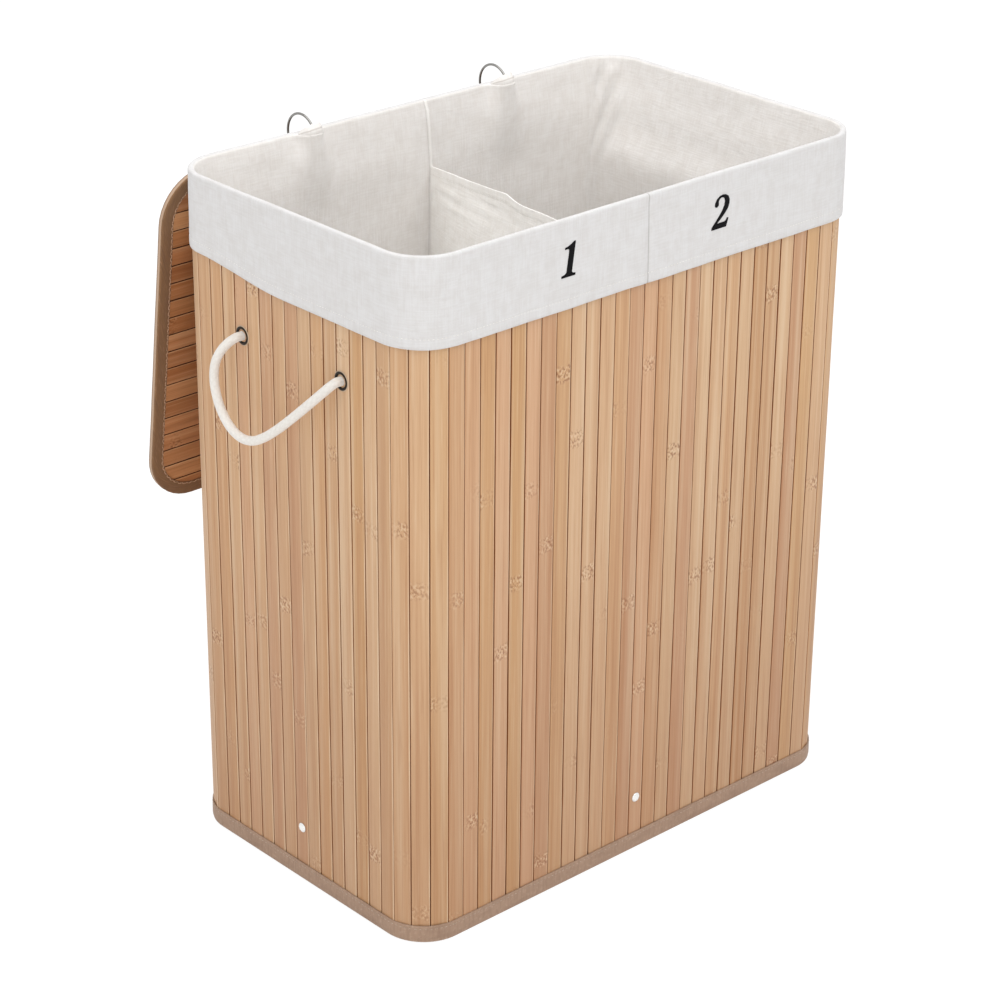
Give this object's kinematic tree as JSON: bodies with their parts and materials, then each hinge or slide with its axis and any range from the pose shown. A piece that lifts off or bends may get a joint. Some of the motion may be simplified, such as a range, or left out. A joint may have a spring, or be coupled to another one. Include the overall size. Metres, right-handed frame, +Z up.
{
  "type": "laundry hamper with two bins",
  "caption": "Tall folding hamper of bamboo slats on cloth, with a two-part cotton liner, rope handles and a slatted lid hung on rings.",
  "frame": {"origin": "on the floor, under the middle of the box round the hamper with its lid hanging behind it", "axes": "+Z up, +X to the right along the long front, +Y from the front to the back with the lid"},
  "size_m": [0.58, 0.3752, 0.6434],
  "materials": {
    "bamboo": "satin varnished bamboo slats on cloth",
    "lid_bamboo": "satin varnished bamboo slats on cloth",
    "binding_tape": "matte woven tape",
    "cotton": "matte plain-woven cotton",
    "lining": "matte plain-woven cotton",
    "rope_cotton": "matte twisted cotton cord",
    "bright_steel": "satin",
    "dark_metal": "dark bronze plating",
    "hardboard": "matte pressed board"
  },
  "bodies": {
    "root": {"mat_front": "bamboo", "mat_corner_front_right": "bamboo", "mat_right": "bamboo", "mat_corner_back_right": "bamboo", "mat_back": "bamboo", "mat_corner_back_left": "bamboo", "mat_left": "bamboo", "mat_corner_front_left": "bamboo", "bottom_binding": "binding_tape", "top_binding": "binding_tape", "brace_long_bar": "bright_steel", "brace_short_bar": "bright_steel", "brace_pivot_rivet": "bright_steel", "rivet_front": "bright_steel", "rivet_right": "bright_steel", "rivet_back": "bright_steel", "rivet_left": "bright_steel", "base_board": "hardboard", "liner_bag_left": "lining", "liner_floor_left": "lining", "liner_bag_right": "lining", "liner_floor_right": "lining", "liner_divider": "cotton", "liner_skirt_left": "cotton", "liner_skirt_right": "cotton", "liner_skirt_back": "cotton", "handle_eyelet_left_front": "dark_metal", "rope_end_left_front": "rope_cotton", "handle_eyelet_left_back": "dark_metal", "rope_end_left_back": "rope_cotton", "handle_eyelet_right_front": "dark_metal", "rope_end_right_front": "rope_cotton", "handle_eyelet_right_back": "dark_metal", "rope_end_right_back": "rope_cotton", "ring_eyelet_left": "dark_metal", "ring_eyelet_right": "dark_metal"},
    "lid_rings": {"lid_ring_left": "bright_steel", "lid_ring_right": "bright_steel"},
    "lid": {"lid_board": "hardboard", "lid_slat_mat": "lid_bamboo", "lid_binding": "binding_tape", "lid_eyelet_left": "dark_metal", "lid_eyelet_right": "dark_metal"},
    "handle_left": {"rope_handle_left": "rope_cotton"},
    "handle_right": {"rope_handle_right": "rope_cotton"}
  },
  "joints": [
    {"name": "lid_swing", "type": "hinge", "parent": "root", "child": "lid_rings", "pos_m": [0, 0.13791, 0.62286], "axis": [1, 0, 0], "range_deg": [0, 217.73]},
    {"name": "lid_fold", "type": "hinge", "parent": "lid_rings", "child": "lid", "pos_m": [0, 0.13913, 0.60209], "axis": [1, 0, 0], "range_deg": [0, 46]},
    {"name": "handle_left_swing", "type": "hinge", "parent": "root", "child": "handle_left", "pos_m": [-0.2685, -0.02609, 0.501], "axis": [0, 1, 0], "range_deg": [0, 150], "deforming": ["rope_handle_left"]},
    {"name": "handle_right_swing", "type": "hinge", "parent": "root", "child": "handle_right", "pos_m": [0.2685, -0.02609, 0.501], "axis": [0, -1, 0], "range_deg": [0, 150], "deforming": ["rope_handle_right"]}
  ],
  "couplings": [
    {"joint": "lid_fold", "follows": "lid_swing", "ratio": 0.20562}
  ]
}
